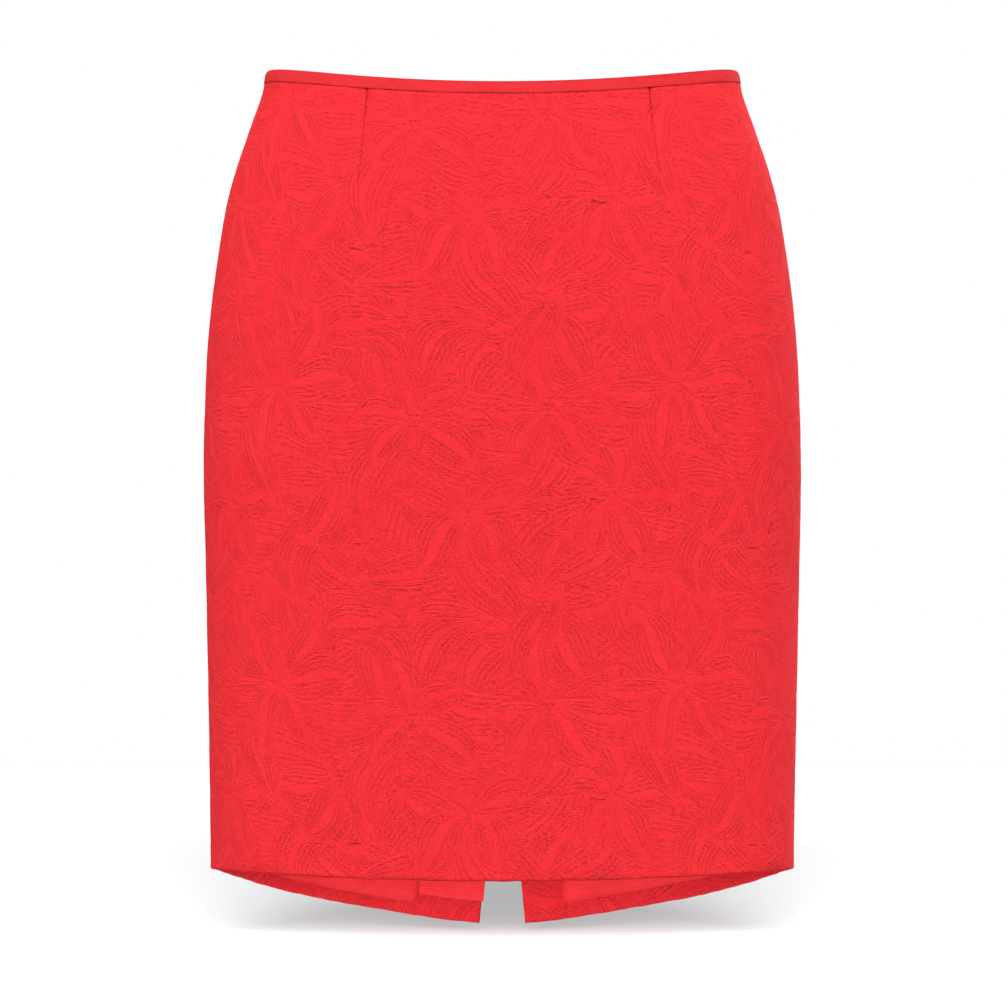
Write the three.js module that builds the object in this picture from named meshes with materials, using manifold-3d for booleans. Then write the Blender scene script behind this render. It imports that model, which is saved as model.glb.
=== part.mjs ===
// A fitted pencil skirt in embossed cloth, in the hollow form it has when worn: one front panel with two
// darts, two back panels with a dart each, a centre-back zip above an open vent, a narrow waist binding,
// turned-up hems and a lining. Millimetres, +Z up. The wearer faces -Y, so the wearer's left is +X.
// The origin is the centre of the waist opening, level with the top edge at the side seams.
import * as THREE from "three";
import { mergeVertices } from "three/addons/utils/BufferGeometryUtils.js";
import Module from "manifold-3d";

const wasm = await Module();
wasm.setup();

// Cloth thicknesses, and the gap that parts two pieces
const GAP = 0.3;
const SHELL = 1.8;
const TURN_UP = 1.4;
const LINING = 1;
const FACING = 1.2;

// Half width and depths of the body of the skirt at each height, from the plane of the side seams
const SECTIONS = [
  { z: 4, half: 138.6, front: 90, back: 98.5 },
  { z: -12, half: 141.3, front: 93.5, back: 104 },
  { z: -35, half: 149.2, front: 99.5, back: 113 },
  { z: -62, half: 157.7, front: 105, back: 122.5 },
  { z: -92, half: 164.6, front: 109, back: 131 },
  { z: -128, half: 170.4, front: 112, back: 138 },
  { z: -170, half: 173.8, front: 113.5, back: 141.5 },
  { z: -230, half: 175.6, front: 113.5, back: 139.5 },
  { z: -300, half: 174.2, front: 112, back: 133.5 },
  { z: -380, half: 172.5, front: 110, back: 127 },
  { z: -470, half: 171.2, front: 108.5, back: 121 },
  { z: -512, half: 170.8, front: 108, back: 118.5 },
];
// How much fuller than an ellipse each section is, across and from front to back
const FULLER = { across: 0.03, deep: 0.09 };

// Top edge and hem: heights that change with the sine of the angle round the body
const TOP_EDGE = { side: 0, tilt: 1.7, frontDip: 14.9, backDip: 5.7 };
const HEM = { side: -470, tilt: 3.2, frontDip: 7.6, backDip: 33, backLift: 11 };
const TURN_UP_HEIGHT = 38;
const FOLD_ROUNDING = 0.9;

// Waist binding: its wall at each drop below the top edge, as depths inside the skirt's outer face
const BINDING_HEIGHT = 8;
const BINDING = [
  { drop: 0, outer: 0.8, inner: 2.9 },
  { drop: 0.6, outer: -0.15, inner: 3.7 },
  { drop: 2, outer: -0.75, inner: 4.2 },
  { drop: 7.3, outer: -0.9, inner: 4.3 },
  { drop: BINDING_HEIGHT, outer: -0.5, inner: 3.9 },
];
const BINDING_END = 0.5;

// Darts: the X at which each leaves the top edge and at which it ends
const FRONT_DARTS = { right: { top: -78, tip: -83.5 }, left: { top: 85, tip: 92 }, length: 61 };
const BACK_DART = { top: 68, tip: 72, length: 105 };
const DART_LINE = { depth: 0.7, reach: 2.2 };

// Centre-back edges: parted at the zip's slider, closed along the seam, and an upturned V at the vent
const BACK_EDGES = [
  { z: -8, x: 1.35 },
  { z: -36, x: GAP / 2 },
  { z: -360, x: GAP / 2 },
  { z: -512, x: 14.6 },
];

// The strips inside the vent's two edges
const VENT_STRIP_TOP = -348;
const VENT_FACING = { width: 26, past: 0, aboveHem: 0.4 };
const VENT_UNDERLAP = { width: 41, past: 1, aboveHem: 13 };

// The lining's outer face, as a depth inside the skirt's outer face, and the height of its edge
const LINING_DEPTH = [
  { z: 4, depth: 3.05 },
  { z: -24, depth: 3.05 },
  { z: -90, depth: 5.4 },
  { z: -512, depth: 5.4 },
];
const LINING_ABOVE_HEM = { front: 12, left: 9.5, right: 7 };
// The lining's centre-back edges: a slit at the zip, a seam, and an arch that goes round the vent
const LINING_EDGES = [
  { z: -8, left: 7, right: 7 },
  { z: -182, left: 7, right: 7 },
  { z: -198, left: GAP / 2, right: GAP / 2 },
  { z: -322, left: GAP / 2, right: GAP / 2 },
  { z: -350, left: 21, right: 33 },
  { z: -372, left: 26, right: 40 },
  { z: -480, left: 36.5, right: 51.5 },
  { z: -512, left: 39.5, right: 60 },
];

// Centre-back zip: tapes joined by a closed coil, notched at the top for the slider
const ZIP = { end: -178, halfTape: 12, tape: 0.6, halfCoil: 2.2, coil: 1.5, halfNotch: 4.2 };
// Zip slider: its body behind the seam, and the neck and lug that come out through it
const SLIDER = { top: 3.2, bottom: -5.4, halfTop: 3.2, halfBottom: 2.3, thick: 2.6 };
const LUG = { z: -16.4, out: 2, radius: 2, hole: 0.95, wide: 1.2, halfNeck: 1.5 };
// Zip pull: a tab with a slot that straddles the lug
const PULL = { length: 24, thick: 0.9, halfTop: 2, endRadius: 2.8, halfSlot: 0.95, slotEnd: 2.8, clear: 0.35 };

// Columns and rows in the grids of points
const COLUMNS = { frontSide: 8, frontCentre: 14, backSide: 6, backCentre: 6, binding: 84, lining: 20 };
const PANEL_STEPS = 19;
const LINING_BACK_COLUMNS = 9;
const STRIP_COLUMNS = 3;

const PI = Math.PI;
const CENTRE_BACK = PI / 2;
const CENTRE_FRONT = -PI / 2;
const lerp = (a, b, t) => a + (b - a) * t;
const clamp01 = (t) => Math.min(1, Math.max(0, t));
const smooth = (t) => clamp01(t) ** 2 * (3 - 2 * clamp01(t));

// The rows of a table, which run downwards, on each side of a height, and how far it is between them.
function between(table, z) {
  const last = table.length - 1;
  const below = table.findIndex((row) => row.z < z);
  const i = Math.min(Math.max((below < 0 ? last : below) - 1, 0), last - 1);
  return { i, t: clamp01((z - table[i].z) / (table[i + 1].z - table[i].z)) };
}

// A named column of a table at a height, on straight lines or on a smooth curve through its rows.
function straight(table, name, z) {
  const { i, t } = between(table, z);
  return lerp(table[i][name], table[i + 1][name], t);
}

function curved(table, name, z) {
  const { i, t } = between(table, z);
  const slope = (k) => {
    const a = table[Math.max(k - 1, 0)];
    const b = table[Math.min(k + 1, table.length - 1)];
    return (b[name] - a[name]) / (b.z - a.z);
  };
  const span = table[i + 1].z - table[i].z;
  const start = (2 * t ** 3 - 3 * t ** 2 + 1) * table[i][name] + (t ** 3 - 2 * t ** 2 + t) * span * slope(i);
  const end = (3 * t ** 2 - 2 * t ** 3) * table[i + 1][name] + (t ** 3 - t ** 2) * span * slope(i + 1);
  return start + end;
}

// The skirt's outer face: its point at an angle round the body, from +X through +Y, and a height.
function face(angle, z) {
  const [c, s] = [Math.cos(angle), Math.sin(angle)];
  return new THREE.Vector3(
    curved(SECTIONS, "half", z) * c * (1 + FULLER.across * s * s),
    curved(SECTIONS, s < 0 ? "front" : "back", z) * s * (1 + FULLER.deep * c * c),
    z,
  );
}

function outward(angle, z) {
  const [turn, rise] = [0.004, 1];
  const along = face(angle + turn, z).sub(face(angle - turn, z));
  const up = face(angle, z + rise).sub(face(angle, z - rise));
  return along.cross(up).normalize();
}

// The point that lies a depth inside that face.
function inside(angle, z, depth) {
  return face(angle, z).addScaledVector(outward(angle, z), -depth);
}

function topEdge(angle) {
  const s = Math.sin(angle);
  return TOP_EDGE.side + TOP_EDGE.tilt * s - (s < 0 ? TOP_EDGE.frontDip : TOP_EDGE.backDip) * s * s;
}

function hem(angle) {
  const s = Math.sin(angle);
  // The back hem runs straighter down to the vent than the front one curves.
  const lift = s < 0 ? 0 : HEM.backLift * s ** 6 * (1 - s ** 6);
  return HEM.side - HEM.tilt * s - (s < 0 ? HEM.frontDip : HEM.backDip) * s * s + lift;
}

const underBinding = (angle) => topEdge(angle) - BINDING_HEIGHT - GAP;

// The angle, on the front or the back half of the body, at which the face has this X.
function angleAt(x, z, onBack) {
  let [low, high] = [0, PI];
  for (let halving = 0; halving < 40; halving++) {
    const middle = (low + high) / 2;
    if (face(middle, z).x > x) low = middle;
    else high = middle;
  }
  return onBack ? low : -low;
}

// The angle of a side seam's edge, half a gap from the seam.
const seamAngle = (z) => GAP / 2 / curved(SECTIONS, "front", z);

// A height from its row: fixed, or measured from the hem, or a share of the way from the binding to the
// turned-up hem. A column's angle depends on the height, so the height is worked out again from it.
function heightOf(row, angle) {
  const at = (a) => {
    if (row.z !== undefined) return row.z;
    if (row.aboveHem !== undefined) return hem(a) + row.aboveHem;
    return lerp(underBinding(a), hem(a) + TURN_UP_HEIGHT, row.share);
  };
  let z = at(angle(HEM.side / 2));
  for (let pass = 0; pass < 4; pass++) z = at(angle(z));
  return z;
}

// A closed wall between two grids of points, outer and inner. Its columns run anticlockwise seen from
// above, and its rows run downwards.
function wall(columns, rows, outer, inner) {
  const across = columns + 1;
  const count = across * (rows + 1);
  const points = [];
  for (const point of [outer, inner])
    for (let k = 0; k <= rows; k++) for (let i = 0; i <= columns; i++) points.push(point(i, k));
  const at = (i, k, layer) => layer * count + k * across + i;
  const faces = [];
  const quad = (a, b, c, d) => faces.push(a, b, c, a, c, d);
  for (let k = 0; k < rows; k++)
    for (let i = 0; i < columns; i++) {
      quad(at(i, k, 0), at(i, k + 1, 0), at(i + 1, k + 1, 0), at(i + 1, k, 0));
      quad(at(i + 1, k, 1), at(i + 1, k + 1, 1), at(i, k + 1, 1), at(i, k, 1));
    }
  for (let i = 0; i < columns; i++) {
    quad(at(i, 0, 0), at(i + 1, 0, 0), at(i + 1, 0, 1), at(i, 0, 1));
    quad(at(i + 1, rows, 0), at(i, rows, 0), at(i, rows, 1), at(i + 1, rows, 1));
  }
  for (let k = 0; k < rows; k++) {
    quad(at(0, k + 1, 0), at(0, k, 0), at(0, k, 1), at(0, k + 1, 1));
    quad(at(columns, k, 0), at(columns, k + 1, 0), at(columns, k + 1, 1), at(columns, k, 1));
  }
  const geometry = new THREE.BufferGeometry();
  geometry.setAttribute("position", new THREE.Float32BufferAttribute(points.flatMap((p) => p.toArray()), 3));
  geometry.setIndex(faces);
  return geometry;
}

// A wall of cloth. Each column gives its angle at a height and, on a dart, how deep its line is drawn in.
// Each row gives its height and the depths of the two faces.
function cloth(columns, rows) {
  const place = (i, k, depthOf) => {
    const z = heightOf(rows[k], columns[i].angle);
    return inside(columns[i].angle(z), z, depthOf(rows[k], z, columns[i]));
  };
  const outer = (row, z, { drawnIn }) => row.outer(z) + (drawnIn ? drawnIn(z) : 0);
  const inner = (row, z) => row.inner(z);
  return wall(
    columns.length - 1,
    rows.length - 1,
    (i, k) => place(i, k, outer),
    (i, k) => place(i, k, inner),
  );
}

// Columns spread evenly from one guide up to, but not on, the next.
function spread(from, to, count) {
  return Array.from({ length: count }, (_, i) => ({ angle: (z) => lerp(from(z), to(z), i / count) }));
}

// The same columns on the other side of the body, in the order that keeps them anticlockwise.
function mirrored(columns) {
  return columns.map((column) => ({ ...column, angle: (z) => PI - column.angle(z) })).reverse();
}

// A dart: a line drawn into the cloth, from the top edge to its tip, with a column on each side of it.
function dart({ top, tip }, length, onBack) {
  const start = underBinding(onBack ? CENTRE_BACK : CENTRE_FRONT);
  const line = (z) => angleAt(lerp(top, tip, clamp01((start - z) / length)), z, onBack);
  const beside = (side) => (z) => line(z) + (side * DART_LINE.reach) / curved(SECTIONS, "half", z);
  const drawnIn = (z) => DART_LINE.depth * smooth((2.5 * (z - start + length)) / length);
  return { before: beside(-1), after: beside(1), columns: [{ angle: beside(-1) }, { angle: line, drawnIn }] };
}

// Rows of a panel of the skirt: even steps down to the turned-up hem, its upper edge, and the rounded fold.
const fixed = (depth) => () => depth;
const PANEL_ROWS = [
  ...Array.from({ length: PANEL_STEPS + 1 }, (_, k) => ({
    share: k / PANEL_STEPS,
    outer: fixed(0),
    inner: fixed(SHELL),
  })),
  { aboveHem: TURN_UP_HEIGHT - 1, outer: fixed(0), inner: fixed(SHELL + TURN_UP) },
  { aboveHem: FOLD_ROUNDING, outer: fixed(0), inner: fixed(SHELL + TURN_UP) },
  { aboveHem: 0, outer: fixed(FOLD_ROUNDING), inner: fixed(SHELL + TURN_UP - FOLD_ROUNDING) },
];

function frontPanel() {
  const right = dart(FRONT_DARTS.right, FRONT_DARTS.length, false);
  const left = dart(FRONT_DARTS.left, FRONT_DARTS.length, false);
  const leftSeam = (z) => -seamAngle(z);
  const columns = [
    ...spread((z) => -PI + seamAngle(z), right.before, COLUMNS.frontSide),
    ...right.columns,
    ...spread(right.after, left.before, COLUMNS.frontCentre),
    ...left.columns,
    ...spread(left.after, leftSeam, COLUMNS.frontSide),
    { angle: leftSeam },
  ];
  return cloth(columns, PANEL_ROWS);
}

function leftBackPanelColumns() {
  const centre = (z) => angleAt(straight(BACK_EDGES, "x", z), z, true);
  const fold = dart(BACK_DART, BACK_DART.length, true);
  return [
    ...spread(seamAngle, fold.before, COLUMNS.backSide),
    ...fold.columns,
    ...spread(fold.after, centre, COLUMNS.backCentre),
    { angle: centre },
  ];
}

function waistBinding() {
  const end = angleAt(BINDING_END, topEdge(CENTRE_BACK), true);
  const angleOf = (i) => lerp(PI - end, 2 * PI + end, i / COLUMNS.binding);
  const place = (i, { drop }, depth) => inside(angleOf(i), topEdge(angleOf(i)) - drop, depth);
  return wall(
    COLUMNS.binding,
    BINDING.length - 1,
    (i, k) => place(i, BINDING[k], BINDING[k].outer),
    (i, k) => place(i, BINDING[k], BINDING[k].inner),
  );
}

// A strip inside the vent's left edge, which steps inwards over the turned-up hem.
function leftVentStrip({ width, past, aboveHem }, thick) {
  const edge = (z) => straight(BACK_EDGES, "x", z);
  const open = (z) => clamp01((edge(z) - GAP / 2) / past || 0);
  const columns = Array.from({ length: STRIP_COLUMNS + 1 }, (_, i) => ({
    angle: (z) => angleAt(edge(z) - past * open(z) + width * (1 - i / STRIP_COLUMNS), z, true),
  }));
  const [above, over] = [SHELL + GAP, SHELL + TURN_UP + GAP];
  const row = (height, depth) => ({ ...height, outer: fixed(depth), inner: fixed(depth + thick) });
  return {
    columns,
    rows: [
      ...[0, 15, 50, 85].map((drop) => row({ z: VENT_STRIP_TOP - drop }, above)),
      row({ aboveHem: TURN_UP_HEIGHT + 2 }, above),
      row({ aboveHem: TURN_UP_HEIGHT + 0.5 }, over),
      row({ aboveHem }, over),
    ],
  };
}

// Rows of a lining piece, whose breaks match those of its centre-back edges.
function liningRows(aboveHem) {
  const outer = (z) => straight(LINING_DEPTH, "depth", z);
  const inner = (z) => outer(z) + LINING;
  const heights = [
    { share: 0 },
    ...[-34, -62, -90, -136, -182, -198, -260, -322, -350, -372, -416].map((z) => ({ z })),
    { aboveHem: aboveHem + 18 },
    { aboveHem },
  ];
  return heights.map((height) => ({ ...height, outer, inner }));
}

function liningFront() {
  const leftSeam = (z) => -seamAngle(z);
  const columns = [...spread((z) => -PI + seamAngle(z), leftSeam, COLUMNS.lining), { angle: leftSeam }];
  return cloth(columns, liningRows(LINING_ABOVE_HEM.front));
}

function liningBackColumns(side) {
  const centre = (z) => angleAt(straight(LINING_EDGES, side, z), z, true);
  return [...spread(seamAngle, centre, LINING_BACK_COLUMNS), { angle: centre }];
}

function zipTape() {
  const { halfTape, halfNotch, halfCoil } = ZIP;
  const half = [halfTape, 7, halfNotch, halfNotch - 0.3, halfCoil + 0.2, halfCoil];
  const across = [...half, ...half.map((x) => -x).reverse()];
  const sliderFoot = LUG.z + SLIDER.bottom - 2 * GAP;
  const heights = (x) => {
    const top = Math.abs(x) < halfNotch ? sliderFoot : underBinding(CENTRE_BACK);
    return [top, -30, -55, -80, -105, -130, -155, ZIP.end];
  };
  const thick = (x) => ZIP.tape + (Math.abs(x) <= halfCoil ? ZIP.coil : 0);
  const place = (i, k, depth) => {
    const z = heights(across[i])[k];
    return inside(angleAt(across[i], z, true), z, depth);
  };
  return wall(
    across.length - 1,
    heights(0).length - 1,
    (i, k) => place(i, k, SHELL + GAP),
    (i, k) => place(i, k, SHELL + GAP + thick(across[i])),
  );
}

// A three.js geometry as a manifold-3d solid, and back.
function solid(geometry) {
  const bare = geometry.clone();
  bare.deleteAttribute("normal");
  bare.deleteAttribute("uv");
  const merged = mergeVertices(bare, 1e-4);
  const vertProperties = merged.attributes.position.array;
  const triVerts = new Uint32Array(merged.index.array);
  return new wasm.Manifold(new wasm.Mesh({ numProp: 3, vertProperties, triVerts }));
}

function geometryOf(manifold) {
  const mesh = manifold.getMesh();
  const geometry = new THREE.BufferGeometry();
  geometry.setAttribute("position", new THREE.BufferAttribute(new Float32Array(mesh.vertProperties), 3));
  geometry.setIndex(new THREE.BufferAttribute(new Uint32Array(mesh.triVerts), 1));
  return geometry;
}

function extruded(shape, depth, curveSegments) {
  const geometry = new THREE.ExtrudeGeometry(shape, { depth, bevelEnabled: false, curveSegments });
  return geometry.translate(0, 0, -depth / 2);
}

// Places a small part at the zip: its Y runs up the seam, its Z points away from the body.
function atZip(point, up) {
  const across = new THREE.Vector3(-1, 0, 0);
  const out = across.clone().cross(up);
  return new THREE.Matrix4().makeBasis(across, up, out).setPosition(point);
}

const SEAM_UP = new THREE.Vector3(1, 0, 0).cross(outward(CENTRE_BACK, LUG.z));
const HINGE = inside(CENTRE_BACK, LUG.z, -LUG.out);

function zipSlider() {
  const { top, bottom, halfTop, halfBottom, thick } = SLIDER;
  const outline = new THREE.Shape();
  outline.moveTo(-halfBottom, bottom);
  outline.lineTo(halfBottom, bottom);
  outline.lineTo(halfTop, top - 1);
  outline.lineTo(halfTop - 1, top);
  outline.lineTo(1 - halfTop, top);
  outline.lineTo(-halfTop, top - 1);
  const bodyDepth = LUG.out + SHELL + GAP;
  const body = extruded(outline, thick, 1).translate(0, 0, -bodyDepth - thick / 2);

  // The neck and lug are drawn from the side, up the seam and away from the body.
  const side = new THREE.Shape();
  const rise = Math.asin(LUG.halfNeck / LUG.radius);
  side.moveTo(-LUG.halfNeck, -bodyDepth - thick / 2);
  side.lineTo(LUG.halfNeck, -bodyDepth - thick / 2);
  side.absarc(0, 0, LUG.radius, rise - PI / 2, 1.5 * PI - rise, false);
  side.holes.push(new THREE.Path().absarc(0, 0, LUG.hole, 0, 2 * PI, true));
  const standing = new THREE.Matrix4().set(0, 0, 1, 0, 1, 0, 0, 0, 0, 1, 0, 0, 0, 0, 0, 1);
  const lug = extruded(side, LUG.wide, 10).applyMatrix4(standing);
  return geometryOf(solid(body).add(solid(lug))).applyMatrix4(atZip(HINGE, SEAM_UP));
}

function zipPull() {
  const { length, thick, halfTop, endRadius, halfSlot, slotEnd, clear } = PULL;
  const outline = new THREE.Shape();
  const endCentre = endRadius - length;
  outline.moveTo(-halfTop, thick / 2);
  outline.lineTo(-halfTop, -slotEnd - 2);
  outline.absarc(0, endCentre, endRadius, PI, 2 * PI, false);
  outline.lineTo(halfTop, -slotEnd - 2);
  outline.lineTo(halfTop, thick / 2);
  const slot = new THREE.Path();
  slot.moveTo(-halfSlot, -thick / 2);
  slot.lineTo(halfSlot, -thick / 2);
  slot.lineTo(halfSlot, -slotEnd);
  slot.lineTo(-halfSlot, -slotEnd);
  outline.holes.push(slot);
  // It hangs from the hinge with its end just clear of the cloth.
  const end = inside(CENTRE_BACK, LUG.z - 0.93 * length, -(thick / 2 + clear));
  const up = HINGE.clone().sub(end).normalize();
  return extruded(outline, thick, 8).applyMatrix4(atZip(HINGE, up));
}

const CLOTH = new THREE.MeshStandardMaterial({ name: "cloth", color: "#ef343b", roughness: 0.75 });
const BINDING_CLOTH = new THREE.MeshStandardMaterial({ name: "binding", color: "#ee3d43", roughness: 0.7 });
const LINING_CLOTH = new THREE.MeshStandardMaterial({ name: "lining", color: "#e83239", roughness: 0.5 });
const TAPE = new THREE.MeshStandardMaterial({ name: "tape", color: "#d92f38", roughness: 0.8 });
const PAINTED = new THREE.MeshStandardMaterial({ name: "painted", color: "#dc2e36", roughness: 0.35 });

const group = new THREE.Group();

function add(name, geometry, material) {
  const mesh = new THREE.Mesh(geometry, material);
  mesh.name = name;
  group.add(mesh);
}

const facing = leftVentStrip(VENT_FACING, FACING);
const underlap = leftVentStrip(VENT_UNDERLAP, LINING);
add("front_panel", frontPanel(), CLOTH);
add("back_panel_left", cloth(leftBackPanelColumns(), PANEL_ROWS), CLOTH);
add("back_panel_right", cloth(mirrored(leftBackPanelColumns()), PANEL_ROWS), CLOTH);
add("waist_binding", waistBinding(), BINDING_CLOTH);
add("vent_facing", cloth(facing.columns, facing.rows), CLOTH);
add("vent_underlap", cloth(mirrored(underlap.columns), underlap.rows), LINING_CLOTH);
add("lining_front", liningFront(), LINING_CLOTH);
add("lining_back_left", cloth(liningBackColumns("left"), liningRows(LINING_ABOVE_HEM.left)), LINING_CLOTH);
add(
  "lining_back_right",
  cloth(mirrored(liningBackColumns("right")), liningRows(LINING_ABOVE_HEM.right)),
  LINING_CLOTH,
);
add("zip_tape", zipTape(), TAPE);
add("zip_slider", zipSlider(), PAINTED);
add("zip_pull", zipPull(), PAINTED);

export default group;
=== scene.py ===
"""The looks of a fitted red pencil skirt in embossed cloth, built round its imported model.

Shapes are worked out in millimetres, in the model's own frame, and become metres when a mesh is made.
"""

import math

import bmesh
import bpy
import numpy as np
from mathutils import Matrix, Vector


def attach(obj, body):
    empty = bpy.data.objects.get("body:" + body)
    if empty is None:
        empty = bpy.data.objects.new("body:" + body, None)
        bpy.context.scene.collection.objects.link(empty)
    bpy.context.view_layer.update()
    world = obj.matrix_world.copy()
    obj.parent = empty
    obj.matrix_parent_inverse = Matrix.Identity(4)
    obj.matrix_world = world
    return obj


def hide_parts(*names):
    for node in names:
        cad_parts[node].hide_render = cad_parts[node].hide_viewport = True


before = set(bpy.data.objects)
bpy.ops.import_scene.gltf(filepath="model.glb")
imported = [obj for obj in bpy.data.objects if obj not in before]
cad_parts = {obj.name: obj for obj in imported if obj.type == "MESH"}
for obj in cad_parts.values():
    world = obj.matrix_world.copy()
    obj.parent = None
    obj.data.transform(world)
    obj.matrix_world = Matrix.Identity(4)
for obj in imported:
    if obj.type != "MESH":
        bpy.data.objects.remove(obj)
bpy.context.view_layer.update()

MM = 0.001

# The body of the skirt, as in the model: half width and depths at each height, and how much fuller than an
# ellipse each section is
SECTIONS = {
    "z": (-512, -470, -380, -300, -230, -170, -128, -92, -62, -35, -12, 4),
    "half": (170.8, 171.2, 172.5, 174.2, 175.6, 173.8, 170.4, 164.6, 157.7, 149.2, 141.3, 138.6),
    "front": (108, 108.5, 110, 112, 113.5, 113.5, 112, 109, 105, 99.5, 93.5, 90),
    "back": (118.5, 121, 127, 133.5, 139.5, 141.5, 138, 131, 122.5, 113, 104, 98.5),
}
FULLER_ACROSS, FULLER_DEEP = 0.03, 0.09

# The top edge and the hem: how far they are tilted up at the back and down at the front, how far they dip at
# the centre lines, and how far the back hem is lifted between them and the sides
TOP_EDGE = {"tilt": 1.7, "front_dip": 14.9, "back_dip": 5.7}
HEM = {"side": -470, "tilt": -3.2, "front_dip": 7.6, "back_dip": 33, "back_lift": 11}

# Edges, darts and layers, as in the model, except that the seams are sewn nearly shut
BINDING_HEIGHT = 8
GAP = 0.3
SEAM_GAP = 0.04
SHELL = 1.7
TURN_UP = 1.4
TURN_UP_HEIGHT = 38
BACK_EDGE = {"z": (-512, -360, -36, -8), "x": (14.6, SEAM_GAP / 2, SEAM_GAP / 2, 1.35)}
LINING_EDGE = {
    "z": (-512, -480, -372, -350, -322, -198, -182, -8),
    "left": (39.5, 36.5, 26, 21, 0, 0, 7, 7),
    "right": (60, 51.5, 40, 33, 0, 0, 7, 7),
}
LINING_DEPTH = {"z": (-512, -90, -24, 4), "depth": (5.4, 5.4, 3.05, 3.05)}
LINING_ABOVE_HEM = {"front": 12, "left": 9.5, "right": 7}
FRONT_DARTS = {"right": (-78, -83.5), "left": (85, 92)}
FRONT_DART_LENGTH = 61
BACK_DART = (68, 72)
BACK_DART_LENGTH = 105
VENT_TOP = -352
VENT_STRIP_TOP = -348
VENT_FACING = {"width": 26, "past": 0, "above_hem": 0.4, "thick": 1.1}
VENT_UNDERLAP = {"width": 41, "past": 1, "above_hem": 13, "thick": 0.9}
LINING = 0.9

# The zip, as in the model
ZIP = {"end": -178, "half_tape": 12, "tape": 0.6, "half_coil": 2.2, "half_notch": 4.2, "slider_foot": -22.4}
SLIDER = {"top": 3.2, "bottom": -5.4, "half_top": 3.2, "half_bottom": 2.3, "thick": 2.6}
LUG = {"z": -16.4, "out": 2, "radius": 2, "hole": 0.95, "wide": 1.2, "half_neck": 1.5}
PULL = {"length": 24, "thick": 0.9, "half_top": 2, "end_radius": 2.8, "half_slot": 0.95, "slot_end": 2.8}
PULL_CLEAR = 0.35

# The angles round the body at the middle of the front and the back
CENTRE_FRONT = -math.pi / 2
CENTRE_BACK = math.pi / 2


def smooth(t):
    t = np.clip(t, 0, 1)
    return t * t * (3 - 2 * t)


def straight(table, name, z):
    return np.interp(z, table["z"], table[name])


def curved(name, z):
    """A named column of the sections' table at each height, on a smooth curve through its rows."""
    heights = np.array(SECTIONS["z"], float)
    values = np.array(SECTIONS[name], float)
    slopes = np.empty_like(values)
    slopes[1:-1] = (values[2:] - values[:-2]) / (heights[2:] - heights[:-2])
    slopes[0] = (values[1] - values[0]) / (heights[1] - heights[0])
    slopes[-1] = (values[-1] - values[-2]) / (heights[-1] - heights[-2])
    i = np.clip(np.searchsorted(heights, z) - 1, 0, len(heights) - 2)
    span = heights[i + 1] - heights[i]
    t = np.clip((z - heights[i]) / span, 0, 1)
    low = (2 * t**3 - 3 * t**2 + 1) * values[i] + (t**3 - 2 * t**2 + t) * span * slopes[i]
    high = (3 * t**2 - 2 * t**3) * values[i + 1] + (t**3 - t**2) * span * slopes[i + 1]
    return low + high


def face(angle, z):
    """The skirt's outer face: points at an angle round the body, from +X through +Y, and a height."""
    c, s = np.cos(angle), np.sin(angle)
    deep = np.where(s < 0, curved("front", z), curved("back", z))
    x = curved("half", z) * c * (1 + FULLER_ACROSS * s * s)
    y = deep * s * (1 + FULLER_DEEP * c * c)
    return np.stack([x, y, z + 0 * x], -1)


def outward(angle, z):
    turn, rise = 0.004, 1.0
    along = face(angle + turn, z) - face(angle - turn, z)
    up = face(angle, z + rise) - face(angle, z - rise)
    normal = np.cross(along, up)
    return normal / np.linalg.norm(normal, axis=-1, keepdims=True)


def inside(angle, z, depth):
    """The points that lie a depth inside that face."""
    return face(angle, z) - outward(angle, z) * np.asarray(depth)[..., None]


def top_edge(angle):
    s = np.sin(angle)
    dip = np.where(s < 0, TOP_EDGE["front_dip"], TOP_EDGE["back_dip"])
    return TOP_EDGE["tilt"] * s - dip * s * s


def hem(angle):
    s = np.sin(angle)
    dip = np.where(s < 0, HEM["front_dip"], HEM["back_dip"])
    lift = np.where(s < 0, 0, HEM["back_lift"] * s**6 * (1 - s**6))
    return HEM["side"] + HEM["tilt"] * s - dip * s * s + lift


def under_binding(angle):
    return top_edge(angle) - BINDING_HEIGHT - SEAM_GAP


# The heights at which the lines down the body are worked out, and how many times each search and each grid
# is refined
HEIGHTS = np.linspace(-514, 5, 400)
HALVINGS = 40
GRID_TURNS = 5


def guide(x_at, on_back):
    """A line down the body, given by its X at each height: a function that gives its angle."""
    x = x_at(HEIGHTS)
    low, high = np.zeros_like(HEIGHTS), np.full_like(HEIGHTS, math.pi)
    for _ in range(HALVINGS):
        middle = (low + high) / 2
        over = face(middle, HEIGHTS)[:, 0] > x
        low, high = np.where(over, middle, low), np.where(over, high, middle)
    angles = low if on_back else -low
    return lambda z: np.interp(z, HEIGHTS, angles)


def beside(line, distance):
    """A line a distance anticlockwise of another, in millimetres."""
    return lambda z: line(z) + distance / curved("half", z)


def side_seam(side):
    """The edge of a side seam, half a gap in front of or behind it: side is 1 behind and -1 in front."""
    return lambda z: side * SEAM_GAP / 2 / curved("front", z)


def about(line, distance):
    """A line between the two that lie a distance on each side of it."""
    return [beside(line, -distance), line, beside(line, distance)]


def mirrored(line):
    """A line of the back, mirrored left to right."""
    return lambda z: math.pi - line(z)


def mirrored_in_front(line):
    """A line of the front, mirrored left to right. Its angle stays below zero."""
    return lambda z: -math.pi - line(z)


def columns_through(guides, counts):
    """Column functions through a row of guides, with that many steps between each two."""
    columns = []
    for (a, b), count in zip(zip(guides, guides[1:]), counts):
        columns += [(a, b, k / count) for k in range(count)]
    return columns + [(guides[-2], guides[-1], 1.0)]


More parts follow.
